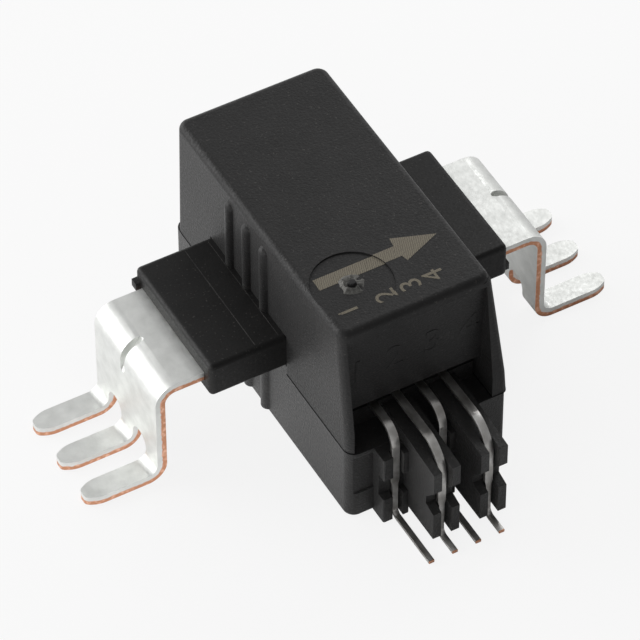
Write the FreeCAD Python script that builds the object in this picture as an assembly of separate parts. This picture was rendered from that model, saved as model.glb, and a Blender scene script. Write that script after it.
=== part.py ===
# Hall effect current sensor for surface mounting.
# Millimetres. X runs along the busbar (current direction), Y along the housing,
# Z up. The signal pins leave at the -Y end. Z = 0 is the plane of the circuit
# board that the solder feet stand on. The sizes below count Y from the middle of
# the cover's top; write() moves each finished solid so that the origin lies in the
# middle of the footprint, from the back wall to the tips of the signal pins.

import FreeCAD, Part
import math
import os

Vector = FreeCAD.Vector

# Housing
body_width = 12.4            # X, cover and base alike
back_y = 13.3                # back of the base
cover_back_y = 12.95         # back of the cover at the parting line
top_back_y = 12.55           # and at its top
top_front_y = -12.15         # front edge of the top
front_y = -13.45             # front of the base and of the cheeks' lower part
top_z = 18.55                # top of the cover
parting_z = 6.95             # cover meets base
base_bottom_z = 0.1          # underside of the base, clear of the board
flare_end_z = 9.05           # where the cheeks stop growing forward
wall = 0.65                  # side and back walls
top_wall = 1.0
floor_wall = 0.9
corner_radius = 0.9          # upright corners
top_edge_radius = 0.6
bottom_edge_radius = 0.35

# Front panel, between two cheeks, with the open bay for the leads below it
panel_lip = 0.9              # height of the rounded lip over it
panel_top_y = -12.0
panel_foot_y = -11.65
panel_foot_z = 9.8
panel_wall = 0.75
cheek_wall = 0.5             # beside the panel and the bay

# Corner buttress at the front of the +X side
buttress_reach = 0.85        # how far it stands out at the parting line
buttress_length = 2.6        # along Y
buttress_top_z = 18.0
buttress_top_reach = 0.02
buttress_step = 0.14         # the base's part stands out this much less
buttress_edge_radius = 0.45

# Upright half-round ribs on both long sides
rib_count = 3
rib_first_y = -0.9
rib_pitch = 2.58
rib_radius = 0.6
rib_stand_out = 0.35
rib_top_z = 17.45

# Gate mark on the top
gate_x = -2.9
gate_y = -8.0
gate_radius = 3.1
gate_depth = 0.12
sprue_radius = 0.4
sprue_tip_radius = 0.24
sprue_height = 0.3

# Busbar
strip_thickness = 0.8
strip_centre_y = 1.6
strip_top_z = 9.6
wall_outer_x = 16.45         # outer face of the part that runs down
upper_bend_radius = 0.9      # inside radius
lower_bend_radius = 0.8      # inside radius
foot_tip_x = 22.2
finger_count = 3
finger_pitch = 3.85
finger_width = 1.85
slot_top_z = 2.75            # round root of the slots between the fingers
tip_length = 1.5             # rounded taper at the end of each finger
tip_width = 0.8
dart_centre_y = 2.0          # pressed stiffening dart across the upper bend
dart_on_top = 1.78           # its end on the top, from the wall's outer face
dart_on_wall = 2.7           # its end on the wall, from the strip's top
dart_width = 0.6
dart_sheet = 0.62            # metal left under its floor
dart_ridge_width = 1.0       # the ridge that it raises inside the bend

# Insulating sheath moulded round the busbar
sheath_half_length = 12.45
sheath_width = 11.6
sheath_top_z = 11.0
sheath_bottom_z = 7.85
sheath_edge_radius = 0.4
tie_stub_size = 0.7          # moulding stubs on the two end faces
tie_stub_reach = 0.35
left_stub_from_edge = 0.4
left_stub_z = 9.55
right_stub_from_edge = 0.7
right_stub_z = 8.35

# Magnetic core, a stack of C-shaped laminations
lamination_count = 12
lamination_pitch = 0.5
lamination_film = 0.02       # glue between two laminations
core_window_clearance = 0.25
core_upright_share = 0.52    # share of the room over and under the sheath
core_level_share = 0.8       # share of the room behind the sheath
core_gap = 1.8
core_corner_radius = 1.2

# Hall sensor package in the gap of the core
package_half_width = 3.6
package_thickness = 1.5
package_length = 4.35
package_draft = 0.12
package_clearance = 0.35     # to the sheath

# Signal pins
pin_count = 4
pin_pitch = 1.96
pin_thickness = 0.27
pin_wide = 0.66
pin_narrow = 0.47
pin_mid_z = 8.85             # height where they leave the package
pin_seat_depth = 1.2         # length inside the package
near_pin_y = -14.4           # uprights of pins 1 and 3
far_pin_y = -17.7            # uprights of pins 2 and 4
near_bend_radius = 1.5
far_bend_radius = 2.3
foot_bend_radius = 0.45
pin_tip_y = -19.85
shoulder_z = 3.75
shoulder_height = 0.45

# Comb on the base that guides the pins
comb_slot_clearance = 0.1
near_jaw_reach = 0.5         # jaws beyond the middle of the pin
near_jaw_side = 1.2         # from the pin's middle towards -X
near_jaw_top_z = 6.85
near_jaw_edge_radius = 0.15
near_notch_low_z = 2.55
near_notch_high_z = 4.65
far_jaw_reach = 0.8
far_jaw_half_width = 1.1
nose_root_z = 8.15
nose_tip_z = 7.7
nose_bottom_z = 0.8
nose_notch_low_z = 3.7
nose_notch_high_z = 4.45
nose_notch_depth = 1.1
nose_lip_z = 5.75
nose_lip_drop = 0.3          # how far the lower jaws' top falls towards the tip
nose_root_fillet = 0.8
bay_back_y = -10.9
bay_wall = 0.8
bay_sill_clearance = 0.15
front_pocket_depth = 0.15    # shallow pocket left of the comb
front_pocket_margin = 0.35
front_pocket_low_z = 2.65
front_pocket_high_z = 6.55

# Seats that hold the core
seat_thickness = 0.8
seat_clearance = 0.05
seat_cheek = 0.6
seat_cheek_height = 2.0

# Cutters reach this far past what they cut, and joined shapes sink this far in
cut_margin = 1.0
sink = 0.1

# Edges are picked by their boxes
upright_length = 1.0         # an upright edge is longer than this
near_zero = 0.01

strip_width = (finger_count - 1) * finger_pitch + finger_width
footprint_middle_y = (back_y + pin_tip_y) / 2
half_width = body_width / 2
inner_half_width = half_width - wall
cheek_inner_x = half_width - cheek_wall
inner_corner_radius = corner_radius - wall / 2
inner_back_y = top_back_y - wall
panel_inner_y = panel_foot_y + panel_wall
strip_low_y = strip_centre_y - strip_width / 2
strip_high_y = strip_centre_y + strip_width / 2
sheath_low_y = strip_centre_y - sheath_width / 2
sheath_high_y = strip_centre_y + sheath_width / 2
core_half_stack = lamination_count * lamination_pitch / 2
window_low_y = sheath_low_y - core_window_clearance
window_high_y = sheath_high_y + core_window_clearance
window_low_z = sheath_bottom_z - core_window_clearance
window_high_z = sheath_top_z + core_window_clearance
core_limb = core_level_share * (inner_back_y - window_high_y)
core_low_y = window_low_y - core_limb
core_high_y = window_high_y + core_limb
core_low_z = window_low_z - core_upright_share * (window_low_z - base_bottom_z - floor_wall)
core_high_z = window_high_z + core_upright_share * (top_z - top_wall - window_high_z)
package_inner_y = sheath_low_y - package_clearance
package_outer_y = package_inner_y - package_length


def box(x0, x1, y0, y1, z0, z1):
    return Part.makeBox(x1 - x0, y1 - y0, z1 - z0, Vector(x0, y0, z0))


def prism_along_x(points, x0, x1):
    """A closed Y-Z outline of straight sides, drawn out from x0 to x1."""
    corners = [Vector(x0, y, z) for y, z in points]
    outline = Part.makePolygon(corners + corners[:1])
    return Part.Face(outline).extrude(Vector(x1 - x0, 0, 0))


def prism_along_y(points, y0, y1):
    """A closed X-Z outline of straight sides, drawn out from y0 to y1."""
    corners = [Vector(x, y0, z) for x, z in points]
    outline = Part.makePolygon(corners + corners[:1])
    return Part.Face(outline).extrude(Vector(0, y1 - y0, 0))


def prism_along_z(points, z0, z1):
    """A closed X-Y outline of straight sides, drawn out from z0 to z1."""
    corners = [Vector(x, y, z0) for x, y in points]
    outline = Part.makePolygon(corners + corners[:1])
    return Part.Face(outline).extrude(Vector(0, 0, z1 - z0))


def edges_where(shape, test):
    """Edges whose box and middle pass the test."""
    return [edge for edge in shape.Edges if test(edge.BoundBox)]


def is_upright(bounds):
    return bounds.ZLength > upright_length and bounds.XLength < near_zero


def mirrored_x(shape):
    return shape.mirror(Vector(0, 0, 0), Vector(1, 0, 0))


def bent_strip(points, radii, thickness, place):
    """Face of a strip that follows straight runs joined by arcs.

    points are the corners of its middle line, radii the middle-line radius at
    each inner corner, and place turns a pair of numbers into a 3-D point.
    """
    half = thickness / 2
    runs = []
    for (a0, b0), (a1, b1) in zip(points, points[1:]):
        length = math.hypot(a1 - a0, b1 - b0)
        runs.append(((a1 - a0) / length, (b1 - b0) / length))

    def side(offset):
        pieces = []
        start = (points[0][0] - runs[0][1] * offset, points[0][1] + runs[0][0] * offset)
        for index, radius in enumerate(radii):
            corner = points[index + 1]
            into, out = runs[index], runs[index + 1]
            turn = math.atan2(into[0] * out[1] - into[1] * out[0],
                              into[0] * out[0] + into[1] * out[1])
            sense = math.copysign(1.0, turn)
            back = radius * math.tan(abs(turn) / 2)
            tangent = (corner[0] - into[0] * back, corner[1] - into[1] * back)
            centre = (tangent[0] - into[1] * radius * sense,
                      tangent[1] + into[0] * radius * sense)
            reach = radius - offset * sense
            first = (-sense * -into[1], -sense * into[0])
            angle = math.atan2(first[1], first[0])
            spots = []
            for share in (0.0, 0.5, 1.0):
                heading = angle + turn * share
                spots.append((centre[0] + reach * math.cos(heading),
                              centre[1] + reach * math.sin(heading)))
            pieces.append((start, spots[0]))
            pieces.append(tuple(spots))
            start = spots[2]
        end = (points[-1][0] - runs[-1][1] * offset, points[-1][1] + runs[-1][0] * offset)
        pieces.append((start, end))
        return pieces

    def edge(spots):
        corners = [place(*spot) for spot in spots]
        if len(corners) == 3:
            return Part.Arc(*corners).toShape()
        return Part.LineSegment(*corners).toShape()

    left = side(half)
    right = side(-half)
    edges = [edge(spots) for spots in left]
    edges.append(edge((left[-1][-1], right[-1][-1])))
    edges += [edge(tuple(reversed(spots))) for spots in reversed(right)]
    edges.append(edge((right[0][0], left[0][0])))
    return Part.Face(Part.Wire(edges))


# Housing


def side_ribs(low_z, high_z, domed):
    """Half-round upright ribs on both long sides between two heights."""
    ribs = []
    axis_x = half_width + rib_stand_out - rib_radius
    for side in (-1, 1):
        for index in range(rib_count):
            y = rib_first_y + index * rib_pitch
            straight_top = high_z - rib_radius if domed else high_z
            ribs.append(Part.makeCylinder(rib_radius, straight_top - low_z,
                                          Vector(side * axis_x, y, low_z)))
            if domed:
                ribs.append(Part.makeSphere(rib_radius,
                                            Vector(side * axis_x, y, straight_top)))
    return ribs


def buttress_section(z, reach, low_y):
    """Level outline of the buttress with two round outer corners."""
    inner_x = half_width - corner_radius
    outer_x = half_width + reach
    high_y = low_y + buttress_length
    flat_x = outer_x - buttress_edge_radius
    corner = buttress_edge_radius * (1 - math.sqrt(0.5))
    low_arc_y = low_y + buttress_edge_radius
    high_arc_y = high_y - buttress_edge_radius
    edges = [Part.LineSegment(Vector(inner_x, low_y, z), Vector(flat_x, low_y, z)),
             Part.Arc(Vector(flat_x, low_y, z), Vector(outer_x - corner, low_y + corner, z),
                      Vector(outer_x, low_arc_y, z)),
             Part.LineSegment(Vector(outer_x, low_arc_y, z), Vector(outer_x, high_arc_y, z)),
             Part.Arc(Vector(outer_x, high_arc_y, z),
                      Vector(outer_x - corner, high_y - corner, z),
                      Vector(flat_x, high_y, z)),
             Part.LineSegment(Vector(flat_x, high_y, z), Vector(inner_x, high_y, z)),
             Part.LineSegment(Vector(inner_x, high_y, z), Vector(inner_x, low_y, z))]
    return Part.Wire([edge.toShape() for edge in edges])


def cover_buttress():
    """Wedge that widens the front corner of the +X side on the way down."""
    share = (buttress_top_z - flare_end_z) / (top_z - flare_end_z)
    high_y = front_y + share * (top_front_y - front_y)
    fall = (buttress_top_z - flare_end_z) / (buttress_top_z - parting_z)
    flare_reach = buttress_top_reach + fall * (buttress_reach - buttress_top_reach)
    return Part.makeLoft([buttress_section(parting_z, buttress_reach, front_y),
                          buttress_section(flare_end_z, flare_reach, front_y),
                          buttress_section(buttress_top_z, buttress_top_reach, high_y)],
                         True, True)


def base_buttress():
    """The wedge's straight lower part, which stands out a little less."""
    reach = buttress_reach - buttress_step
    return Part.makeLoft([buttress_section(base_bottom_z, reach, front_y),
                          buttress_section(parting_z, reach, front_y)], True, True)


def cover_block(low_x, high_x):
    """The cover's outline seen from the side, drawn out along X."""
    return prism_along_x([(cover_back_y, parting_z), (top_back_y, top_z),
                          (top_front_y, top_z), (front_y, flare_end_z),
                          (front_y, parting_z)], low_x, high_x)


def cover_outside():
    block = cover_block(-half_width, half_width)
    block = block.makeFillet(corner_radius, edges_where(block, is_upright))
    top = edges_where(block, lambda b: b.ZMin > top_z - near_zero)
    return block.makeFillet(top_edge_radius, top)


def sheath_window():
    """The sheath's hole through both side walls, open down to the parting line."""
    reach = half_width + buttress_reach + cut_margin
    return box(-reach, reach, sheath_low_y, sheath_high_y, parting_z - cut_margin,
               sheath_top_z)


def core_seat(low_z, high_z, edge_z, cheek_z, centre_y):
    """Rib across the housing whose cheeks stand beside the stack of laminations."""
    low_y = centre_y - seat_thickness / 2
    high_y = centre_y + seat_thickness / 2
    outer_x = core_half_stack + seat_clearance + seat_cheek
    web = box(-outer_x, outer_x, low_y, high_y, min(low_z, high_z), max(low_z, high_z))
    inner_x = core_half_stack + seat_clearance
    cheeks = [box(side * inner_x if side > 0 else -outer_x,
                  outer_x if side > 0 else -inner_x,
                  low_y, high_y, min(edge_z, cheek_z), max(edge_z, cheek_z))
              for side in (-1, 1)]
    return [web] + cheeks


def make_cover():
    shell = cover_outside()
    shell = shell.fuse(side_ribs(parting_z, rib_top_z, domed=True))
    shell = shell.fuse(cover_buttress())
    hollow = box(-inner_half_width, inner_half_width, panel_inner_y, inner_back_y,
                 parting_z - cut_margin, top_z - top_wall)
    upright = edges_where(hollow, is_upright)
    hollow = hollow.makeFillet(inner_corner_radius, upright)
    front_clear = front_y - cut_margin
    recess = prism_along_x([(panel_top_y, top_z - panel_lip),
                            (front_clear, top_z - panel_lip),
                            (front_clear, parting_z - cut_margin),
                            (panel_foot_y, parting_z - cut_margin),
                            (panel_foot_y, panel_foot_z)],
                           -cheek_inner_x, cheek_inner_x)
    bay = box(-cheek_inner_x, cheek_inner_x, front_clear,
              panel_inner_y + inner_corner_radius, parting_z - cut_margin, panel_foot_z)
    shell = shell.cut([hollow, recess, bay, sheath_window()])
    seat_edge = core_high_z + seat_clearance
    for centre_y in (window_low_y - core_limb / 2, window_high_y + core_limb / 2):
        shell = shell.fuse(core_seat(seat_edge, top_z - top_wall, seat_edge,
                                     seat_edge - seat_cheek_height, centre_y))
    disc_z = top_z - gate_depth
    disc = Part.makeCylinder(gate_radius, gate_depth + cut_margin,
                             Vector(gate_x, gate_y, disc_z))
    sprue = Part.makeCone(sprue_radius, sprue_tip_radius, sprue_height + gate_depth,
                          Vector(gate_x, gate_y, disc_z - sink))
    return shell.cut(disc).fuse(sprue).removeSplitter()


def near_jaws(centre_x):
    """Block with a slot for a pin of the near row, joined to the next nose."""
    tip_y = near_pin_y - near_jaw_reach
    low_x = centre_x - near_jaw_side
    high_x = centre_x + pin_pitch - far_jaw_half_width + sink
    block = box(low_x, high_x, tip_y, front_y + bay_wall, base_bottom_z, near_jaw_top_z)
    tip_edges = edges_where(block, lambda b: is_upright(b) and b.YMax < tip_y + near_zero)
    block = block.makeFillet(near_jaw_edge_radius, tip_edges)
    notch = box(low_x - sink, high_x + sink, tip_y - sink, near_pin_y + pin_thickness,
                near_notch_low_z, near_notch_high_z)
    return block.cut(notch)


def nose(centre_x):
    """Long block with a slot for a pin of the far row, seated in the bay."""
    tip_y = far_pin_y - far_jaw_reach
    notch_y = tip_y + nose_notch_depth
    outline = [(bay_back_y, nose_bottom_z), (bay_back_y, nose_root_z), (front_y, nose_root_z),
               (tip_y, nose_tip_z), (tip_y, nose_lip_z), (notch_y, nose_notch_high_z),
               (notch_y, nose_notch_low_z), (tip_y, nose_notch_low_z - nose_lip_drop),
               (tip_y, nose_bottom_z)]
    low_x = centre_x - far_jaw_half_width
    high_x = centre_x + far_jaw_half_width
    block = prism_along_x(outline, low_x, high_x)
    parts = [block]
    for side, face_x in ((-1, low_x), (1, high_x)):
        square = box(min(face_x, face_x + side * nose_root_fillet),
                     max(face_x, face_x + side * nose_root_fillet),
                     front_y - nose_root_fillet, front_y + sink, nose_bottom_z, parting_z)
        round_off = Part.makeCylinder(nose_root_fillet, top_z,
                                      Vector(face_x + side * nose_root_fillet,
                                             front_y - nose_root_fillet, 0))
        parts.append(square.cut(round_off))
    return parts


def pin_slots(index):
    """Upright slot for one pin, open to the front, and clearance round its bends."""
    pin_y = far_pin_y if is_far(index) else near_pin_y
    reach = far_jaw_reach if is_far(index) else near_jaw_reach
    half = pin_wide / 2 + comb_slot_clearance
    floor_y = pin_y + pin_thickness / 2 + comb_slot_clearance
    slot = box(pin_x(index) - half, pin_x(index) + half, pin_y - reach - cut_margin, floor_y,
               0, top_z)
    return [slot, pin_outline(index, comb_slot_clearance)]


def pin_x(index):
    return (index - (pin_count - 1) / 2) * pin_pitch


def is_far(index):
    return index % 2 == 1


def make_base():
    block = box(-half_width, half_width, front_y, back_y, base_bottom_z, parting_z)
    block = block.makeFillet(corner_radius, edges_where(block, is_upright))
    bottom = edges_where(block, lambda b: b.ZMax < base_bottom_z + near_zero)
    block = block.makeFillet(bottom_edge_radius, bottom)
    block = block.fuse(side_ribs(base_bottom_z + bottom_edge_radius, parting_z, domed=False))
    block = block.fuse(base_buttress())
    hollow = box(-inner_half_width, inner_half_width, bay_back_y + bay_wall, inner_back_y,
                 base_bottom_z + floor_wall, parting_z + cut_margin)
    upright = edges_where(hollow, is_upright)
    block = block.cut(hollow.makeFillet(inner_corner_radius, upright))
    pocket = box(-half_width + front_pocket_margin, pin_x(0) - near_jaw_side,
                 front_y - cut_margin, front_y + front_pocket_depth, front_pocket_low_z,
                 front_pocket_high_z)
    block = block.cut(pocket)
    sill_top = pin_mid_z - pin_thickness / 2 - bay_sill_clearance
    additions = [box(-inner_half_width, inner_half_width, bay_back_y,
                     bay_back_y + bay_wall, parting_z - sink, sill_top)]
    for low_x, high_x in ((-half_width, -inner_half_width), (inner_half_width, half_width)):
        additions.append(box(low_x, high_x, sheath_low_y, sheath_high_y,
                             parting_z - sink, sheath_bottom_z))
    for index in range(pin_count):
        if is_far(index):
            additions += nose(pin_x(index))
        else:
            additions.append(near_jaws(pin_x(index)))
    seat_edge = core_low_z - seat_clearance
    for centre_y in (window_low_y - core_limb / 2, window_high_y + core_limb / 2):
        additions += core_seat(base_bottom_z + floor_wall - sink, seat_edge, seat_edge,
                               seat_edge + seat_cheek_height, centre_y)
    slots = [slot for index in range(pin_count) for slot in pin_slots(index)]
    return block.fuse(additions).cut(slots).removeSplitter()


# Busbar and its sheath


def finger_slots():
    """Slots with round roots that part the fingers, from the foot up the wall."""
    slots = []
    slot_width = finger_pitch - finger_width
    for index in range(finger_count - 1):
        y = strip_centre_y + (index - (finger_count - 2) / 2) * finger_pitch
        low_x = wall_outer_x - strip_thickness - cut_margin
        high_x = foot_tip_x + cut_margin
        root_z = slot_top_z - slot_width / 2
        slots.append(box(low_x, high_x, y - slot_width / 2, y + slot_width / 2,
                         -cut_margin, root_z))
        slots.append(Part.makeCylinder(slot_width / 2, high_x - low_x,
                                       Vector(low_x, y, root_z), Vector(1, 0, 0)))
    return slots


def tip_cutters():
    """What narrows each finger to its tip, with flanks that curve in."""
    cutters = []
    start_x = foot_tip_x - tip_length
    inset = (finger_width - tip_width) / 2
    flank_radius = (tip_length ** 2 + inset ** 2) / (2 * inset)
    for index in range(finger_count):
        y = strip_centre_y + (index - (finger_count - 1) / 2) * finger_pitch
        for side in (-1, 1):
            outer_y = y + side * (finger_width / 2 + sink)
            inner_y = y + side * (tip_width / 2 - sink)
            centre_y = y + side * (finger_width / 2 - flank_radius)
            corner = box(start_x, foot_tip_x + sink, min(outer_y, inner_y),
                         max(outer_y, inner_y), -sink, strip_thickness + sink)
            cutters.append(corner.cut(Part.makeCylinder(
                flank_radius, strip_thickness + 4 * sink,
                Vector(start_x, centre_y, -2 * sink))))
    return cutters


def dart_line():
    """Ends of the dart's floor and the directions along it and out of it."""
    top_end = Vector(wall_outer_x - dart_on_top, dart_centre_y, strip_top_z)
    wall_end = Vector(wall_outer_x, dart_centre_y, strip_top_z - dart_on_wall)
    along = (wall_end - top_end).normalize()
    return top_end, wall_end, along, Vector(-along.z, 0, along.x)


def dart():
    """Round-ended trench pressed straight across the outside of the upper bend."""
    top_end, wall_end, along, outward = dart_line()
    across = Vector(0, dart_width / 2, 0)
    first = top_end + along * (dart_width / 2)
    last = wall_end - along * (dart_width / 2)
    edges = [Part.LineSegment(first - across, last - across).toShape(),
             Part.Arc(last - across, wall_end, last + across).toShape(),
             Part.LineSegment(last + across, first + across).toShape(),
             Part.Arc(first + across, top_end, first - across).toShape()]
    return Part.Face(Part.Wire(edges)).extrude(outward * (2 * strip_thickness))


def make_busbar():
    middle_z = strip_top_z - strip_thickness / 2
    wall_middle_x = wall_outer_x - strip_thickness / 2
    half = strip_thickness / 2
    points = [(-foot_tip_x, half), (-wall_middle_x, half), (-wall_middle_x, middle_z),
              (wall_middle_x, middle_z), (wall_middle_x, half), (foot_tip_x, half)]
    lower = lower_bend_radius + half
    upper = upper_bend_radius + half
    face = bent_strip(points, [lower, upper, upper, lower], strip_thickness,
                      lambda x, z: Vector(x, strip_low_y, z))
    strip = face.extrude(Vector(0, strip_width, 0))
    ridge = dart_ridge()
    strip = strip.fuse([ridge, mirrored_x(ridge)])
    cutters = finger_slots() + tip_cutters() + [dart()]
    cutters += [mirrored_x(cutter) for cutter in cutters]
    return strip.cut(cutters).removeSplitter()


def dart_ridge():
    """The metal that the dart raises in the inner corner of the bend."""
    top_end, wall_end, along, outward = dart_line()
    corner_x = wall_outer_x - strip_thickness
    corner_z = strip_top_z - strip_thickness
    start = top_end - outward * dart_sheet
    low_x = start.x + along.x * (corner_z - start.z) / along.z
    low_z = start.z + along.z * (corner_x - start.x) / along.x
    half = dart_ridge_width / 2
    wedge = prism_along_y([(corner_x, corner_z), (low_x, corner_z), (corner_x, low_z)],
                          dart_centre_y - half, dart_centre_y + half)
    outer_radius = upper_bend_radius + strip_thickness
    centre = Vector(wall_outer_x - outer_radius, strip_low_y, strip_top_z - outer_radius)
    bend = Part.makeCylinder(outer_radius - sink, strip_width, centre, Vector(0, 1, 0))
    wall_part = box(centre.x, corner_x, strip_low_y, strip_high_y, low_z - sink, centre.z)
    top_part = box(low_x - sink, centre.x, strip_low_y, strip_high_y, centre.z, corner_z)
    return wedge.common(bend.fuse([wall_part, top_part]))


def make_sheath(busbar):
    block = box(-sheath_half_length, sheath_half_length, sheath_low_y, sheath_high_y,
                sheath_bottom_z, sheath_top_z)
    block = block.makeFillet(sheath_edge_radius, block.Edges)
    for side, y, z in ((-1, sheath_high_y - left_stub_from_edge, left_stub_z),
                       (1, sheath_low_y + right_stub_from_edge, right_stub_z)):
        start_x = side * (sheath_half_length - tie_stub_size)
        end_x = side * (sheath_half_length + tie_stub_reach)
        block = block.fuse(box(min(start_x, end_x), max(start_x, end_x),
                               y - tie_stub_size / 2, y + tie_stub_size / 2,
                               z - tie_stub_size / 2, z + tie_stub_size / 2))
    return block.cut(busbar).removeSplitter()


# Core, sensor package and pins


def make_lamination(index):
    """One stamped C, its gap in the limb on the pin side."""
    low_x = -core_half_stack + index * lamination_pitch + lamination_film / 2
    high_x = low_x + lamination_pitch - lamination_film
    plate = box(low_x, high_x, core_low_y, core_high_y, core_low_z, core_high_z)
    corners = edges_where(plate, lambda b: b.YLength < near_zero and b.ZLength < near_zero)
    plate = plate.makeFillet(core_corner_radius, corners)
    window = box(low_x - cut_margin, high_x + cut_margin, window_low_y, window_high_y,
                 window_low_z, window_high_z)
    gap = box(low_x - cut_margin, high_x + cut_margin, core_low_y - cut_margin,
              window_low_y + sink, pin_mid_z - core_gap / 2, pin_mid_z + core_gap / 2)
    return plate.cut([window, gap])


def pin_outline(index, extra):
    """A lead's bent bar, grown all round by extra, without its shoulders."""
    upright_y = far_pin_y if is_far(index) else near_pin_y
    bend = far_bend_radius if is_far(index) else near_bend_radius
    half = pin_thickness / 2
    half_wide = pin_wide / 2 + extra
    points = [(package_outer_y + pin_seat_depth, pin_mid_z), (upright_y, pin_mid_z),
              (upright_y, half), (pin_tip_y, half)]
    face = bent_strip(points, [bend, foot_bend_radius + half], pin_thickness + 2 * extra,
                      lambda y, z: Vector(pin_x(index) - half_wide, y, z))
    return face.extrude(Vector(2 * half_wide, 0, 0))


def make_pin(index):
    """A flat lead: out of the package, down through the comb, out as a solder foot."""
    centre_x = pin_x(index)
    trims = []
    for side in (-1, 1):
        wide_x = centre_x + side * pin_wide / 2
        narrow_x = centre_x + side * pin_narrow / 2
        outer_x = centre_x + side * pin_wide
        trims.append(prism_along_y([(wide_x, shoulder_z), (narrow_x, shoulder_z - shoulder_height),
                                    (narrow_x, -cut_margin), (outer_x, -cut_margin),
                                    (outer_x, shoulder_z)],
                                   pin_tip_y - cut_margin, package_outer_y))
    return pin_outline(index, 0).cut(trims)


def make_package(pins):
    """Moulded sensor body, slightly drafted, with the leads' inner ends inside it."""
    half = package_thickness / 2
    outline = [(package_inner_y, pin_mid_z), (package_inner_y - package_draft, pin_mid_z + half),
               (package_outer_y + package_draft, pin_mid_z + half), (package_outer_y, pin_mid_z),
               (package_outer_y + package_draft, pin_mid_z - half),
               (package_inner_y - package_draft, pin_mid_z - half)]
    body = prism_along_x(outline, -package_half_width, package_half_width)
    return body.cut(pins)


def write(name, shape):
    solids = shape.Solids
    if len(solids) == 1:
        shape = solids[0]
    shape = shape.translated(Vector(0, -footprint_middle_y, 0))
    bounds = shape.BoundBox
    print("%-24s solids %d valid %s volume %.2f box %.2f %.2f %.2f to %.2f %.2f %.2f" % (
        name, len(solids), shape.isValid(), shape.Volume, bounds.XMin, bounds.YMin,
        bounds.ZMin, bounds.XMax, bounds.YMax, bounds.ZMax))
    shape.exportStep(os.path.join("parts", name + ".step"))


os.makedirs("parts", exist_ok=True)
busbar = make_busbar()
pins = [make_pin(index) for index in range(pin_count)]
write("cover", make_cover())
write("base", make_base())
write("primary_busbar", busbar)
write("busbar_insulation", make_sheath(busbar))
write("sensor_package", make_package(pins))
for index, pin in enumerate(pins):
    write("signal_pin_%d" % (index + 1), pin)
for index in range(lamination_count):
    write("core_lamination_%02d" % (index + 1), make_lamination(index))
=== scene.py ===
# Surface-mount hall effect current sensor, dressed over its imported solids
import math

import bmesh
import bpy
from mathutils import Matrix, Vector, noise


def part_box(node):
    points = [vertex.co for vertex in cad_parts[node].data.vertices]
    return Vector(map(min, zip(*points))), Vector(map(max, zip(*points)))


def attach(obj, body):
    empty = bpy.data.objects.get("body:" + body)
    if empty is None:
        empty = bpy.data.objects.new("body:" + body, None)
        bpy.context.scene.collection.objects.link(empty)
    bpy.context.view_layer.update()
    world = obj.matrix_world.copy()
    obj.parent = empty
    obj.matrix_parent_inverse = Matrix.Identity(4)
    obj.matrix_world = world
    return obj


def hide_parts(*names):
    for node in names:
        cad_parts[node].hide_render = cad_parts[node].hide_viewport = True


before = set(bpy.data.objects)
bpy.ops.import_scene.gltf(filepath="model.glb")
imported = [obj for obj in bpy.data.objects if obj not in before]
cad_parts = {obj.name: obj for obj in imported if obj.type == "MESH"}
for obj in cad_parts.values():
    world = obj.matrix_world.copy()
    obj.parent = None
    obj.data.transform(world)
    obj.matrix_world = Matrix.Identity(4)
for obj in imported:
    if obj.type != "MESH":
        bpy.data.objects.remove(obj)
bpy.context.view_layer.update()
mm = 0.001


# Cover: thin-walled box moulded in black glass-filled plastic, with a fine spark-eroded
# grain on its faces. It drops over the base and meets it at a narrow parting line, whose
# shade is painted as a near-black slice.

cover_top_z = 18.55 * mm
cover_y = 3.275 * mm         # about its middle, from the middle of the footprint
cover_edge = 0.07 * mm
parting_z = 6.95 * mm
gap_height = 0.13 * mm
shade_slice_proud = 0.012 * mm       # the painted shade slice stands out this much, to be seen
weld_distance = 0.0005 * mm

mottle_scale = 420           # noise scales are features per metre
speck_scale = 5200
grain_scale = 5800
speck_grey = (0.16, 0.15, 0.14)
speck_strength = 0.2
roughness_spread = 0.1
dust_roughness = 0.4


def select_only(piece):
    """Leaves one piece selected and active."""
    bpy.ops.object.select_all(action="DESELECT")
    piece.select_set(True)
    bpy.context.view_layer.objects.active = piece


def apply_modifier(piece, kind, **settings):
    """Gives a piece a modifier with these settings and applies it."""
    select_only(piece)
    modifier = piece.modifiers.new(kind.lower(), kind)
    for name, value in settings.items():
        setattr(modifier, name, value)
    bpy.ops.object.modifier_apply(modifier=modifier.name)


def soften(piece, edge):
    """Rounds the sharp edges of a piece and shades the rest smooth."""
    apply_modifier(piece, "BEVEL", width=edge, segments=2, limit_method="ANGLE",
                   angle_limit=math.radians(34), use_clamp_overlap=True,
                   harden_normals=False)
    select_only(piece)
    bpy.ops.object.shade_smooth_by_angle(angle=math.radians(35))
    apply_modifier(piece, "WEIGHTED_NORMAL", keep_sharp=True)


def node_copy(node, name):
    """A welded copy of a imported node's mesh that takes the node's place."""
    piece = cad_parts[node].copy()
    piece.data = piece.data.copy()
    piece.name = name
    piece.data.name = name
    bpy.context.collection.objects.link(piece)
    select_only(piece)
    bpy.ops.object.mode_set(mode="EDIT")
    bpy.ops.mesh.select_all(action="SELECT")
    bpy.ops.mesh.remove_doubles(threshold=weld_distance)
    bpy.ops.mesh.customdata_custom_splitnormals_clear()
    bpy.ops.mesh.select_all(action="SELECT")
    bpy.ops.mesh.dissolve_limited(angle_limit=math.radians(0.5))
    bpy.ops.object.mode_set(mode="OBJECT")
    return piece


def dress(piece, material):
    """Gives a piece its one material."""
    piece.data.materials.clear()
    piece.data.materials.append(material)


def blank_material(name):
    """A material with its shader, its nodes and the object's own coordinates."""
    material = bpy.data.materials.new(name)
    material.use_nodes = True
    nodes = material.node_tree.nodes
    shader = nodes["Principled BSDF"]
    place = nodes.new("ShaderNodeTexCoord").outputs["Object"]
    return material, nodes, material.node_tree.links, shader, place


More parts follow.
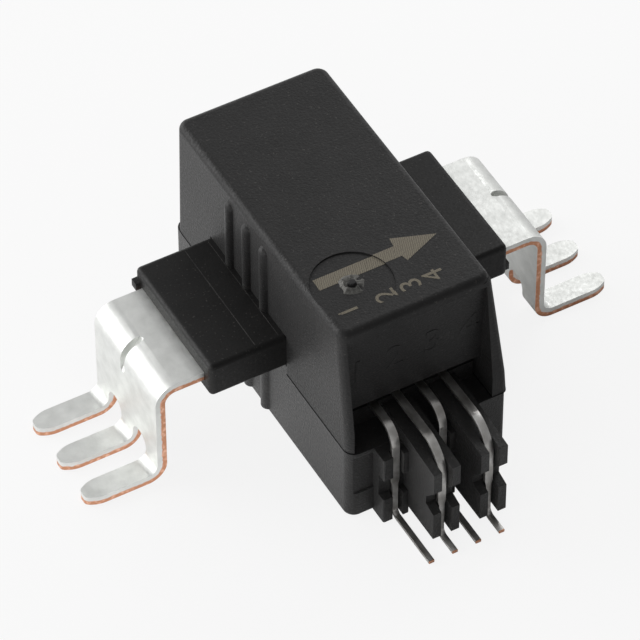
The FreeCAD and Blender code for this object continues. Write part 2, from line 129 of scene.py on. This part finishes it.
def noise_value(nodes, links, place, scale, detail, stretch=(1, 1, 1)):
    """Noise over the object; a small number in stretch draws it out along that axis."""
    mapping = nodes.new("ShaderNodeMapping")
    mapping.inputs["Scale"].default_value = stretch
    links.new(place, mapping.inputs["Vector"])
    texture = nodes.new("ShaderNodeTexNoise")
    texture.inputs["Scale"].default_value = scale
    texture.inputs["Detail"].default_value = detail
    links.new(mapping.outputs["Vector"], texture.inputs["Vector"])
    return texture.outputs["Fac"]


def colour_ramp(nodes, links, value, *stops):
    """A colour for each value, from stops that are each a value and its colour."""
    ramp = nodes.new("ShaderNodeValToRGB")
    for element, (position, colour) in zip(ramp.color_ramp.elements, stops):
        element.position = position
        element.color = (*colour, 1)
    links.new(value, ramp.inputs["Fac"])
    return ramp.outputs["Color"]


def value_range(nodes, links, value, low, high, new_low, new_high):
    """The value with its range from low to high spread over a new range."""
    spread = nodes.new("ShaderNodeMapRange")
    spread.inputs["From Min"].default_value = low
    spread.inputs["From Max"].default_value = high
    spread.inputs["To Min"].default_value = new_low
    spread.inputs["To Max"].default_value = new_high
    links.new(value, spread.inputs["Value"])
    return spread.outputs["Result"]


def mixed_colour(nodes, links, share, under, over):
    """A share of one colour over another; the upper one may be a plain colour."""
    mixed = nodes.new("ShaderNodeMix")
    mixed.data_type = "RGBA"
    links.new(share, mixed.inputs["Factor"])
    links.new(under, mixed.inputs["A"])
    if isinstance(over, tuple):
        mixed.inputs["B"].default_value = (*over, 1)
    else:
        links.new(over, mixed.inputs["B"])
    return mixed.outputs["Result"]


def bump(nodes, links, shader, height, depth):
    """Lets a value from 0 to 1 stand up from the surface by a depth."""
    node = nodes.new("ShaderNodeBump")
    node.inputs["Strength"].default_value = 1.0
    node.inputs["Distance"].default_value = depth
    links.new(height, node.inputs["Height"])
    links.new(node.outputs["Normal"], shader.inputs["Normal"])


def moulded_plastic(name, dark, light, rough, grain_depth=0.038 * mm, shine=0.4,
                    dust=0.0):
    """Black moulding: soft mottling, a few pale specks and an eroded grain."""
    material, nodes, links, shader, place = blank_material(name)
    cloud = noise_value(nodes, links, place, mottle_scale, 4)
    base = colour_ramp(nodes, links, cloud, (0.3, dark), (0.72, light))
    speck = noise_value(nodes, links, place, speck_scale, 1)
    speck = value_range(nodes, links, speck, 0.67, 0.76, 0, speck_strength)
    links.new(mixed_colour(nodes, links, speck, base, speck_grey),
              shader.inputs["Base Color"])
    grain = noise_value(nodes, links, place, grain_scale, 3)
    links.new(value_range(nodes, links, grain, 0.3, 0.7, rough - roughness_spread,
                          rough + roughness_spread),
              shader.inputs["Roughness"])
    bump(nodes, links, shader, grain, grain_depth)
    shader.inputs["Specular IOR Level"].default_value = shine
    shader.inputs["Sheen Weight"].default_value = dust
    shader.inputs["Sheen Roughness"].default_value = dust_roughness
    return material


# Painted shade: near-black for the shade in the parting gap between the cover and the base.
parting_shade_black, nodes, links, shader, place = blank_material("parting_shade_black")
shader.inputs["Base Color"].default_value = (0.002, 0.002, 0.002, 1)
shader.inputs["Roughness"].default_value = 0.9
shader.inputs["Specular IOR Level"].default_value = 0.1

# Painted shade: a near-black slice of the cover's rim, cut off just over the parting line,
# stands for the shade in the narrow gap there.
parting_shade_slice = node_copy("cover", "parting_shade_strip")
bpy.ops.object.mode_set(mode="EDIT")
bpy.ops.mesh.select_all(action="SELECT")
bpy.ops.mesh.bisect(plane_co=(0, 0, parting_z + gap_height), plane_no=(0, 0, 1),
                    clear_outer=True, threshold=0.001 * mm)
bpy.ops.object.mode_set(mode="OBJECT")
apply_modifier(parting_shade_slice, "DISPLACE", strength=shade_slice_proud, mid_level=0)
dress(parting_shade_slice, parting_shade_black)
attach(parting_shade_slice, "root")

cover_plastic = moulded_plastic("cover_plastic", dark=(0.0055, 0.0052, 0.0052),
                                light=(0.0105, 0.01, 0.01), rough=0.5, shine=0.35,
                                dust=0.08)
cover = node_copy("cover", "cover_shell")
soften(cover, cover_edge)
dress(cover, cover_plastic)
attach(cover, "root")
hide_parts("cover")


# Gate mark: the sprue was torn off the shallow round recess and left a ragged crater
# of pale, stretched plastic round its stub.

gate_radius = 3.1 * mm
gate_depth = 0.12 * mm
gate_place = Vector((-2.9 * mm, -8.0 * mm + cover_y, cover_top_z - gate_depth))
tear_reach = 1.1 * mm
tear_thickness = 0.03 * mm
rim_place = 0.6              # the crater's rim and its width, as shares of the reach
rim_width = 0.24
rim_height = 0.2 * mm
lump_height = 0.3 * mm
crumb_height = 0.18 * mm
edge_fall = 0.06 * mm
lump_scale = 1500
crumb_scale = 3900
wander = 0.2                 # how far lumps push the rim about, as a share

torn_plastic = moulded_plastic("torn_plastic", dark=(0.02, 0.02, 0.019),
                               light=(0.2, 0.195, 0.18), rough=0.55,
                               grain_depth=0.05 * mm)
bpy.ops.object.select_all(action="DESELECT")
bpy.ops.mesh.primitive_circle_add(vertices=48, radius=tear_reach, fill_type="TRIFAN",
                                  location=gate_place)
gate_tear = bpy.context.active_object
gate_tear.name = "gate_tear"
bpy.ops.object.transform_apply(location=True, rotation=True, scale=True)
bpy.ops.object.mode_set(mode="EDIT")
bpy.ops.mesh.subdivide(number_cuts=6)
bpy.ops.object.mode_set(mode="OBJECT")
for vertex in gate_tear.data.vertices:
    away = vertex.co - gate_place
    reach = math.hypot(away.x, away.y) / tear_reach
    lumps = noise.noise(vertex.co * lump_scale)
    crumbs = noise.noise(vertex.co * crumb_scale)
    rim = math.exp(-((reach - rim_place - wander * lumps) / rim_width) ** 2)
    rise = rim * (rim_height + lump_height * lumps + crumb_height * crumbs)
    vertex.co.z += rise - edge_fall * reach ** 4
    vertex.co.x += away.x * wander * lumps
    vertex.co.y -= away.y * wander * lumps
select_only(gate_tear)
bpy.ops.object.shade_smooth_by_angle(angle=math.radians(30))
apply_modifier(gate_tear, "SOLIDIFY", thickness=tear_thickness, offset=-1)
dress(gate_tear, torn_plastic)
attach(gate_tear, "root")


# Arrow: burnt into the top by laser as rows of fine pale strokes, it points the way that
# the current flows. Its tail crosses the recess of the gate and lies on its floor there.

mark_rise = 0.012 * mm
burnt_dark = (0.095, 0.083, 0.062)
burnt_pale = (0.215, 0.19, 0.143)
wave_length = 0.314          # metres between the strokes of a wave texture of scale 1
stroke_waver = 3.2
stroke_depth = 0.01 * mm
burnt_scale = 9000
burnt_roughness = (0.6, 0.8)
arrow_outline = ((-5.2, -7.4), (1.5, -7.4), (1.65, -7.97), (4.75, -6.7), (1.55, -5.5),
                 (1.45, -6.3), (-5.2, -6.3))


def laser_mark(name, turn, pitch):
    """Fine strokes of paler burnt plastic with the dark moulding between them."""
    material, nodes, links, shader, place = blank_material(name)
    mapping = nodes.new("ShaderNodeMapping")
    mapping.inputs["Rotation"].default_value = (0, 0, math.radians(turn))
    links.new(place, mapping.inputs["Vector"])
    strokes = nodes.new("ShaderNodeTexWave")
    strokes.inputs["Scale"].default_value = wave_length / pitch
    strokes.inputs["Distortion"].default_value = stroke_waver
    strokes.inputs["Detail"].default_value = 2
    strokes.inputs["Detail Scale"].default_value = 3
    links.new(mapping.outputs["Vector"], strokes.inputs["Vector"])
    links.new(colour_ramp(nodes, links, strokes.outputs["Fac"], (0.1, burnt_dark),
                          (0.42, burnt_pale)),
              shader.inputs["Base Color"])
    grain = noise_value(nodes, links, place, burnt_scale, 2)
    links.new(value_range(nodes, links, grain, 0.3, 0.7, *burnt_roughness),
              shader.inputs["Roughness"])
    bump(nodes, links, shader, strokes.outputs["Fac"], stroke_depth)
    return material


def settle(piece):
    """What lies over the gate's recess comes down on to the floor of the recess."""
    select_only(piece)
    bpy.ops.object.duplicate()
    lowered = bpy.context.active_object
    bpy.ops.object.select_all(action="DESELECT")
    bpy.ops.mesh.primitive_cylinder_add(vertices=96, radius=gate_radius, depth=2 * mm,
                                        location=gate_place)
    disc = bpy.context.active_object
    apply_modifier(lowered, "BOOLEAN", operation="INTERSECT", object=disc, solver="EXACT")
    apply_modifier(piece, "BOOLEAN", operation="DIFFERENCE", object=disc, solver="EXACT")
    lowered.data.transform(Matrix.Translation((0, 0, -gate_depth)))
    select_only(disc)
    bpy.ops.object.delete()
    select_only(piece)
    lowered.select_set(True)
    bpy.ops.object.join()


bpy.ops.object.select_all(action="DESELECT")
bpy.ops.mesh.primitive_plane_add(size=1 * mm, location=(0, 0, 0))
arrow = bpy.context.active_object
arrow.name = "current_arrow"
shell = bmesh.new()
shell.faces.new([shell.verts.new((x * mm, y * mm + cover_y, cover_top_z))
                 for x, y in arrow_outline])
shell.to_mesh(arrow.data)
shell.free()
apply_modifier(arrow, "SOLIDIFY", thickness=mark_rise, offset=1)
settle(arrow)
dress(arrow, laser_mark("arrow_mark", turn=38, pitch=0.13 * mm))
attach(arrow, "root")


# Pin numbers: 1 to 4 for the four leads, burnt into the front of the top like the arrow
# and once more raised on the front panel, where the mould was engraved.

top_number_x = (-4.35 * mm, -1.3 * mm, 0.7 * mm, 2.6 * mm)
top_number_y = -10.1 * mm + cover_y
top_number_size = 2.3 * mm
panel_number_pitch = 3.08 * mm
panel_number_y = -11.8 * mm + cover_y
panel_number_z = 13.7 * mm
panel_number_size = 3.3 * mm
panel_number_thickness = 0.14 * mm
panel_overhang = 0.35 * mm   # its top stands this much further forward than its foot
panel_height = 7.85 * mm


def number_piece(name, digit, size, place, turn, thickness, material):
    """One digit as a thin plate, with its place in its mesh."""
    bpy.ops.object.select_all(action="DESELECT")
    bpy.ops.object.text_add(location=(0, 0, 0))
    piece = bpy.context.active_object
    piece.name = name
    piece.data.body = digit
    piece.data.align_x = "CENTER"
    piece.data.align_y = "CENTER"
    piece.data.size = size
    piece.data.extrude = thickness / 2
    piece.data.resolution_u = 4
    bpy.ops.object.convert(target="MESH")
    piece = bpy.context.active_object
    piece.data.transform(Matrix.Translation(place) @ turn)
    bpy.ops.object.mode_set(mode="EDIT")
    bpy.ops.mesh.select_all(action="SELECT")
    bpy.ops.mesh.remove_doubles(threshold=weld_distance)
    bpy.ops.mesh.normals_make_consistent(inside=False)
    bpy.ops.object.mode_set(mode="OBJECT")
    dress(piece, material)
    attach(piece, "root")
    return piece


number_mark = laser_mark("number_mark", turn=-30, pitch=0.11 * mm)
quarter_turn = Matrix.Rotation(math.radians(90), 4, "Z")
for index, x in enumerate(top_number_x, 1):
    number = number_piece("top_number_%d" % index, str(index), top_number_size,
                          Vector((x, top_number_y, cover_top_z)), quarter_turn,
                          2 * mark_rise, number_mark)
    if abs(x - gate_place.x) < gate_radius:
        settle(number)

panel_lean = math.atan2(panel_overhang, panel_height)
panel_turn = Matrix.Rotation(math.radians(90) + panel_lean, 4, "X")
for index in range(1, 5):
    x = (index - 2.5) * panel_number_pitch
    number_piece("panel_number_%d" % index, str(index), panel_number_size,
                 Vector((x, panel_number_y, panel_number_z)), panel_turn,
                 panel_number_thickness, cover_plastic)


# Base: deep tray moulded in the same black plastic, with the comb of jaws and noses
# that guides the four leads. The cover is snapped on to it.

base_edge = 0.06 * mm

base_plastic = moulded_plastic("base_plastic", dark=(0.009, 0.0087, 0.0086),
                               light=(0.0165, 0.016, 0.0157), rough=0.44,
                               grain_depth=0.044 * mm, shine=0.46, dust=0.14)
base = node_copy("base", "base_tray")
soften(base, base_edge)
dress(base, base_plastic)
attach(base, "root")
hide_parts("base")


# Sheath: flat block of blacker, smoother plastic moulded round the busbar. Its mould
# left two thin pale lines across the top of one arm, and a tie bar was torn off each end.

sheath_edge = 0.05 * mm
sheath_plastic = moulded_plastic("sheath_plastic", dark=(0.0045, 0.0043, 0.0042),
                                 light=(0.0085, 0.008, 0.0078), rough=0.48,
                                 grain_depth=0.01 * mm, shine=0.32)
sheath_low, sheath_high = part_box("busbar_insulation")
sheath = node_copy("busbar_insulation", "busbar_sheath")
soften(sheath, sheath_edge)
dress(sheath, sheath_plastic)
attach(sheath, "root")
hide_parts("busbar_insulation")

seam_rise = 0.015 * mm
seam_end = 0.45 * mm         # the seams stop this far from the rounded edges
seam_y = (sheath_low.y + sheath_high.y) / 2
seam_length = sheath_high.y - sheath_low.y - 2 * seam_end
seam_plastic = moulded_plastic("seam_plastic", dark=(0.012, 0.012, 0.012),
                               light=(0.07, 0.068, 0.065), rough=0.5)
for name, x, width in (("sheath_seam_outer", -8.53 * mm, 0.06 * mm),
                       ("sheath_seam_inner", -6.6 * mm, 0.035 * mm)):
    bpy.ops.object.select_all(action="DESELECT")
    bpy.ops.mesh.primitive_cube_add(size=1, location=(x, seam_y, sheath_high.z))
    seam = bpy.context.active_object
    seam.name = name
    seam.scale = (width, seam_length, 2 * seam_rise)
    bpy.ops.object.transform_apply(location=True, rotation=True, scale=True)
    dress(seam, seam_plastic)
    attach(seam, "root")


# Busbar: strip of tin-plated copper, stamped to three fingers at each end and bent. The
# plating is drawn over the outer half of every cut edge and leaves the rest bare.

busbar_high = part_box("primary_busbar")[1]
foot_tip_x = busbar_high.x
strip_top_z = busbar_high.z
strip_thickness = 0.8 * mm
wall_x = 16.45 * mm          # outer face of the part that runs down
upper_radius = 1.7 * mm      # outer radius
lower_radius = 0.8 * mm      # inner radius
dart_y = 2.0 * mm + cover_y
dart_clearance = 0.62 * mm
dart_height = 3.6 * mm       # from the strip's top to just below the dart
tip_corner = 0.2 * mm
tip_margin = 0.005 * mm
busbar_edge = 0.05 * mm
tin_grey = (0.72, 0.73, 0.71)
tin_pale = (0.84, 0.85, 0.83)
copper_brown = (0.66, 0.32, 0.19)
copper_bright = (0.92, 0.56, 0.4)
copper_start = 0.47          # depths in the cut edge, as shares of the thickness
copper_full = 0.55
copper_waver = 0.07
ragged_scale = 2600
skin_start = 0.965
skin_full = 0.985
handling_scale = 900
satin_scale = 3600
satin_depth = 0.008 * mm
satin_roughness = (0.4, 0.56)


def maths(nodes, links, operation, *values):
    """A Math node on numbers and sockets, and its output."""
    node = nodes.new("ShaderNodeMath")
    node.operation = operation
    for socket, value in zip(node.inputs, values):
        if isinstance(value, (int, float)):
            socket.default_value = value
        else:
            links.new(value, socket)
    return node.outputs["Value"]


def split_axes(nodes, links, place):
    """The x, y and z of a place or a direction."""
    split = nodes.new("ShaderNodeSeparateXYZ")
    links.new(place, split.inputs["Vector"])
    return split.outputs["X"], split.outputs["Y"], split.outputs["Z"]


def round_corner(nodes, links, x, z, sign, corner_x, corner_z):
    """Distance from a bend's centre, or from the centre's level or upright past its ends."""
    parts = []
    for value, corner in ((x, corner_x), (z, corner_z)):
        away = maths(nodes, links, "MULTIPLY_ADD", value, sign, -sign * corner)
        away = maths(nodes, links, "MAXIMUM", away, 0.0)
        parts.append(maths(nodes, links, "MULTIPLY", away, away))
    total = maths(nodes, links, "ADD", *parts)
    return maths(nodes, links, "SQRT", total)


def cut_depth(nodes, links, x, z):
    """Depth under the plated outer face, as a share of the strip's thickness."""
    x = maths(nodes, links, "ABSOLUTE", x)
    upper = round_corner(nodes, links, x, z, 1.0, wall_x - upper_radius,
                         strip_top_z - upper_radius)
    upper = maths(nodes, links, "SUBTRACT", upper_radius, upper)
    lower = round_corner(nodes, links, x, z, -1.0, wall_x + lower_radius,
                         strip_thickness + lower_radius)
    lower = maths(nodes, links, "SUBTRACT", lower, lower_radius)
    is_high = maths(nodes, links, "GREATER_THAN", z, strip_top_z / 2)
    gain = maths(nodes, links, "SUBTRACT", upper, lower)
    depth = maths(nodes, links, "MULTIPLY_ADD", is_high, gain, lower)
    return maths(nodes, links, "DIVIDE", depth, strip_thickness)


def clear_of_dart(nodes, links, y, z):
    """One everywhere but in the dart, whose floor lies deep and is plated all the same."""
    away = maths(nodes, links, "SUBTRACT", y, dart_y)
    away = maths(nodes, links, "ABSOLUTE", away)
    beside = maths(nodes, links, "GREATER_THAN", away, dart_clearance)
    below = maths(nodes, links, "LESS_THAN", z, strip_top_z - dart_height)
    return maths(nodes, links, "MAXIMUM", beside, below)


def tinned_copper(name):
    """Satin tin, mottled by handling, and bare copper deeper in the cut edges."""
    material, nodes, links, shader, place = blank_material(name)
    cloud = noise_value(nodes, links, place, handling_scale, 7)
    tin = colour_ramp(nodes, links, cloud, (0.3, tin_grey), (0.68, tin_pale))
    x, y, z = split_axes(nodes, links, place)
    depth = cut_depth(nodes, links, x, z)
    ragged = noise_value(nodes, links, place, ragged_scale, 3)
    ragged = value_range(nodes, links, ragged, 0.3, 0.7, -copper_waver, copper_waver)
    wavy = maths(nodes, links, "ADD", depth, ragged)
    bare = value_range(nodes, links, wavy, copper_start, copper_full, 0, 1)
    not_skin = value_range(nodes, links, depth, skin_start, skin_full, 1, 0)
    share = maths(nodes, links, "MULTIPLY", bare, not_skin)
    share = maths(nodes, links, "MULTIPLY", share, clear_of_dart(nodes, links, y, z))
    copper = colour_ramp(nodes, links, ragged, (0.0, copper_brown), (0.06, copper_bright))
    links.new(mixed_colour(nodes, links, share, tin, copper), shader.inputs["Base Color"])
    shader.inputs["Metallic"].default_value = 1.0
    mottle = noise_value(nodes, links, place, satin_scale, 5, (1, 0.7, 1))
    links.new(value_range(nodes, links, mottle, 0.28, 0.72, *satin_roughness),
              shader.inputs["Roughness"])
    bump(nodes, links, shader, mottle, satin_depth)
    return material


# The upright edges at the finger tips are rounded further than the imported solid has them.
busbar = node_copy("primary_busbar", "primary_strip")
bpy.ops.object.mode_set(mode="EDIT")
bpy.ops.mesh.select_mode(type="EDGE")
bpy.ops.mesh.select_all(action="DESELECT")
shell = bmesh.from_edit_mesh(busbar.data)
for edge in shell.edges:
    ends = [vertex.co for vertex in edge.verts]
    at_tip = all(abs(end.x) > foot_tip_x - tip_margin for end in ends)
    edge.select = at_tip and abs(ends[0].z - ends[1].z) > strip_thickness / 2
bmesh.update_edit_mesh(busbar.data)
bpy.ops.mesh.bevel(offset=tip_corner, segments=4, affect="EDGES", clamp_overlap=True)
bpy.ops.object.mode_set(mode="OBJECT")
soften(busbar, busbar_edge)
dress(busbar, tinned_copper("busbar_metal"))
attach(busbar, "root")
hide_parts("primary_busbar")


# Signal leads: flat strips of tinned copper alloy, formed after moulding. They leave the
# package, bend down into the comb and end as small solder feet with bare cut ends.

lead_end_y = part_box("signal_pin_1")[0].y
end_depth = 0.06 * mm
lead_grey = (0.42, 0.405, 0.385)
lead_pale = (0.78, 0.77, 0.75)
cut_copper = (0.72, 0.38, 0.24)
lead_edge = 0.035 * mm
drawn_scale = 5200
drawn_depth = 0.004 * mm
drawn_roughness = (0.3, 0.46)

lead_metal, nodes, links, shader, place = blank_material("lead_metal")
cloud = noise_value(nodes, links, place, handling_scale, 4)
tin = colour_ramp(nodes, links, cloud, (0.32, lead_grey), (0.7, lead_pale))
lead_y = split_axes(nodes, links, place)[1]
at_end = maths(nodes, links, "LESS_THAN", lead_y, lead_end_y + end_depth)
links.new(mixed_colour(nodes, links, at_end, tin, cut_copper), shader.inputs["Base Color"])
shader.inputs["Metallic"].default_value = 1.0
drawn = noise_value(nodes, links, place, drawn_scale, 2, (1, 0.12, 0.12))
links.new(value_range(nodes, links, drawn, 0.25, 0.75, *drawn_roughness),
          shader.inputs["Roughness"])
bump(nodes, links, shader, drawn, drawn_depth)
for index in range(1, 5):
    lead = node_copy("signal_pin_%d" % index, "signal_lead_%d" % index)
    soften(lead, lead_edge)
    dress(lead, lead_metal)
    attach(lead, "root")
    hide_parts("signal_pin_%d" % index)


# Sensor package: small block of black epoxy with the hall cell, moulded round the inner
# ends of the leads.

package_epoxy = moulded_plastic("package_epoxy", dark=(0.012, 0.012, 0.012),
                                light=(0.03, 0.03, 0.03), rough=0.5)
dress(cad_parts["sensor_package"], package_epoxy)


# Core: stack of stamped soft-magnetic laminations with the sheen of rolled steel. It goes
# round the sheath and is held by the seats in the cover and the base.

lamination_count = 12
steel_blue = (0.23, 0.235, 0.25)
steel_grey = (0.4, 0.4, 0.41)
rolled_scale = 1800
rolled_depth = 0.004 * mm
rolled_roughness = (0.34, 0.5)

rolled_steel, nodes, links, shader, place = blank_material("rolled_steel")
rolled = noise_value(nodes, links, place, rolled_scale, 3, (1, 0.08, 1))
links.new(colour_ramp(nodes, links, rolled, (0.3, steel_blue), (0.7, steel_grey)),
          shader.inputs["Base Color"])
shader.inputs["Metallic"].default_value = 1.0
links.new(value_range(nodes, links, rolled, 0.3, 0.7, *rolled_roughness),
          shader.inputs["Roughness"])
bump(nodes, links, shader, rolled, rolled_depth)
for index in range(1, lamination_count + 1):
    dress(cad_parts["core_lamination_%02d" % index], rolled_steel)


# Studio: pale floor and surroundings, both brighter towards a window behind the left side
# and dimmer overhead, with a broad lamp at the window and two small ones. On the window's
# side the floor glows for every ray, a painted pool of light that lights the sensor.

window_x = -0.6              # heading of the window
window_y = 0.8
floor_size = 1.2
floor_drop = 0.02 * mm
paper_scale = 60
paper_dark = (0.86, 0.86, 0.86)
paper_light = (0.88, 0.88, 0.88)
floor_seen_glow = 0.85       # share of plain white that the camera sees
floor_window_glow = 0.8      # share of glow on the window's side, a painted pool of light that lights the sensor
glow_start = -9 * mm         # places along the window's heading
glow_full = 7 * mm
overhead_level = 0.5
dark_side_level = 0.24
window_side_level = 1.46


def towards_window(nodes, links, x, y):
    """How far a place or a direction lies on the window's side."""
    side = maths(nodes, links, "MULTIPLY", y, window_y)
    return maths(nodes, links, "MULTIPLY_ADD", x, window_x, side)


bpy.ops.object.select_all(action="DESELECT")
bpy.ops.mesh.primitive_plane_add(size=floor_size, location=(0, 0, -floor_drop))
floor = bpy.context.active_object
floor.name = "studio_floor"
floor_paint, nodes, links, shader, place = blank_material("floor_paint")
shader.inputs["Roughness"].default_value = 0.9
shader.inputs["Specular IOR Level"].default_value = 0.0
paper = noise_value(nodes, links, place, paper_scale, 3)
links.new(colour_ramp(nodes, links, paper, (0.2, paper_dark), (0.8, paper_light)),
          shader.inputs["Base Color"])
glow = nodes.new("ShaderNodeEmission")
glow.inputs["Strength"].default_value = 1.0
rays = nodes.new("ShaderNodeLightPath")
x, y, z = split_axes(nodes, links, place)
window_side = towards_window(nodes, links, x, y)
# Painted pool of light: on the window's side the floor glows for all rays, not only the
# camera's.
lit = value_range(nodes, links, window_side, glow_start, glow_full, 0.0, floor_window_glow)
seen = maths(nodes, links, "MULTIPLY", rays.outputs["Is Camera Ray"], floor_seen_glow)
both = nodes.new("ShaderNodeMixShader")
links.new(maths(nodes, links, "MAXIMUM", seen, lit), both.inputs["Fac"])
links.new(shader.outputs["BSDF"], both.inputs[1])
links.new(glow.outputs["Emission"], both.inputs[2])
links.new(both.outputs["Shader"], nodes["Material Output"].inputs["Surface"])
dress(floor, floor_paint)

world = bpy.data.worlds.new("studio_world")
bpy.context.scene.world = world
world.use_nodes = True
nodes = world.node_tree.nodes
links = world.node_tree.links
sky = nodes["Background"]
sky.inputs["Color"].default_value = (1, 1, 1, 1)
heading = nodes.new("ShaderNodeTexCoord").outputs["Generated"]
x, y, z = split_axes(nodes, links, heading)
overhead = value_range(nodes, links, z, 0.0, 0.75, 1.0, overhead_level)
sideways = value_range(nodes, links, towards_window(nodes, links, x, y), -1.0, 1.0,
                       dark_side_level, window_side_level)
level = maths(nodes, links, "MULTIPLY", overhead, sideways)
rays = nodes.new("ShaderNodeLightPath")
brightest = maths(nodes, links, "MAXIMUM", level, rays.outputs["Is Camera Ray"])
links.new(brightest, sky.inputs["Strength"])


def direction(azimuth, elevation):
    """The way out from the sensor at an azimuth and an elevation, in degrees."""
    turn = math.radians(azimuth)
    rise = math.radians(elevation)
    return Vector((math.sin(turn) * math.cos(rise), -math.cos(turn) * math.cos(rise),
                   math.sin(rise)))


def lamp(name, azimuth, elevation, distance, size, power):
    """A round lamp that faces the sensor."""
    out = direction(azimuth, elevation)
    data = bpy.data.lights.new(name, "AREA")
    data.shape = "DISK"
    data.size = size
    data.energy = power
    piece = bpy.data.objects.new(name, data)
    bpy.context.collection.objects.link(piece)
    piece.location = out * distance
    piece.rotation_euler = out.to_track_quat("Z", "Y").to_euler()


lamp("key_lamp", azimuth=-138, elevation=18, distance=0.3, size=0.28, power=0.45)
lamp("fill_lamp", azimuth=-80, elevation=12, distance=0.3, size=0.16, power=0.11)
lamp("rim_lamp", azimuth=125, elevation=46, distance=0.14, size=0.06, power=0.022)


# Camera: a long lens at the photograph's angle, about 370 mm from the sensor. Its shift
# moves the frame a little to the photograph's.

view_azimuth = -29.33
view_elevation = 47.19
view_distance = 369 * mm
view_point = Vector((0, cover_y, 7.85 * mm))
view_point_across = 332.7    # where the view point lies in the frame, in pixels
view_point_down = 299.0
pixels_per_mm = 13.583       # at the view point
frame_pixels = 640
film_width = 36

back = direction(view_azimuth, view_elevation)
camera_data = bpy.data.cameras.new("photo_camera")
camera = bpy.data.objects.new("photo_camera", camera_data)
bpy.context.collection.objects.link(camera)
camera_data.sensor_width = film_width
camera_data.lens = pixels_per_mm * (view_distance / mm) / frame_pixels * film_width
camera_data.shift_x = (frame_pixels / 2 - view_point_across) / frame_pixels
camera_data.shift_y = (view_point_down - frame_pixels / 2) / frame_pixels
camera_data.clip_start = 0.01
camera_data.clip_end = 10
camera.location = view_point + back * view_distance
camera.rotation_euler = back.to_track_quat("Z", "Y").to_euler()
bpy.context.scene.camera = camera
bpy.context.scene.view_settings.view_transform = "Standard"
